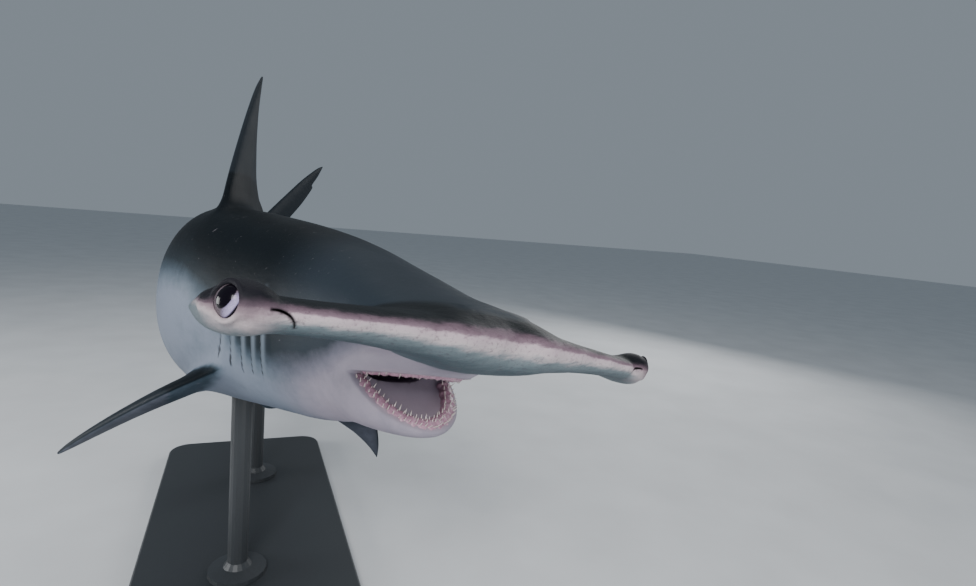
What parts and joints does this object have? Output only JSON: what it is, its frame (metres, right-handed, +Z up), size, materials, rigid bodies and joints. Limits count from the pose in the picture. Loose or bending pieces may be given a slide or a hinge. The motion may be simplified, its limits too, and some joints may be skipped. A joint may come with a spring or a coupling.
{
  "type": "hammerhead shark model",
  "caption": "Life-size great hammerhead shark turning to its left with the mouth open, held on a plain display stand with a flat base and rods.",
  "frame": {"origin": "centre of the underside of the stand's base, on the floor", "axes": "+Z up, the head faces -Y, the tail points to +Y, the shark's left side is +X; metres"},
  "size_m": [1.1684, 3.2267, 1.4165],
  "materials": {
    "skin": "satin, dark blue-grey back and off-white belly",
    "eye": "glossy, dark pupil in a pale iris",
    "mouth": "damp grey-pink lining and gum",
    "teeth": "ivory white",
    "stand": "satin dark grey powder coat"
  },
  "bodies": {
    "root": {"head": "skin", "hammer_right": "skin", "hammer_left": "skin", "lower_jaw": "skin", "neck": "skin", "torso": "skin", "rear_body": "skin", "tail_stalk": "skin", "dorsal_fin_first": "skin", "dorsal_fin_second": "skin", "anal_fin": "skin", "pectoral_fin_right": "skin", "pectoral_fin_left": "skin", "pelvic_fin_right": "skin", "pelvic_fin_left": "skin", "caudal_fin_upper": "skin", "caudal_fin_lower": "skin", "eye_right": "eye", "eye_left": "eye", "stand_base": "stand", "stand_rod_front": "stand", "stand_rod_rear": "stand"}
  },
  "joints": []
}
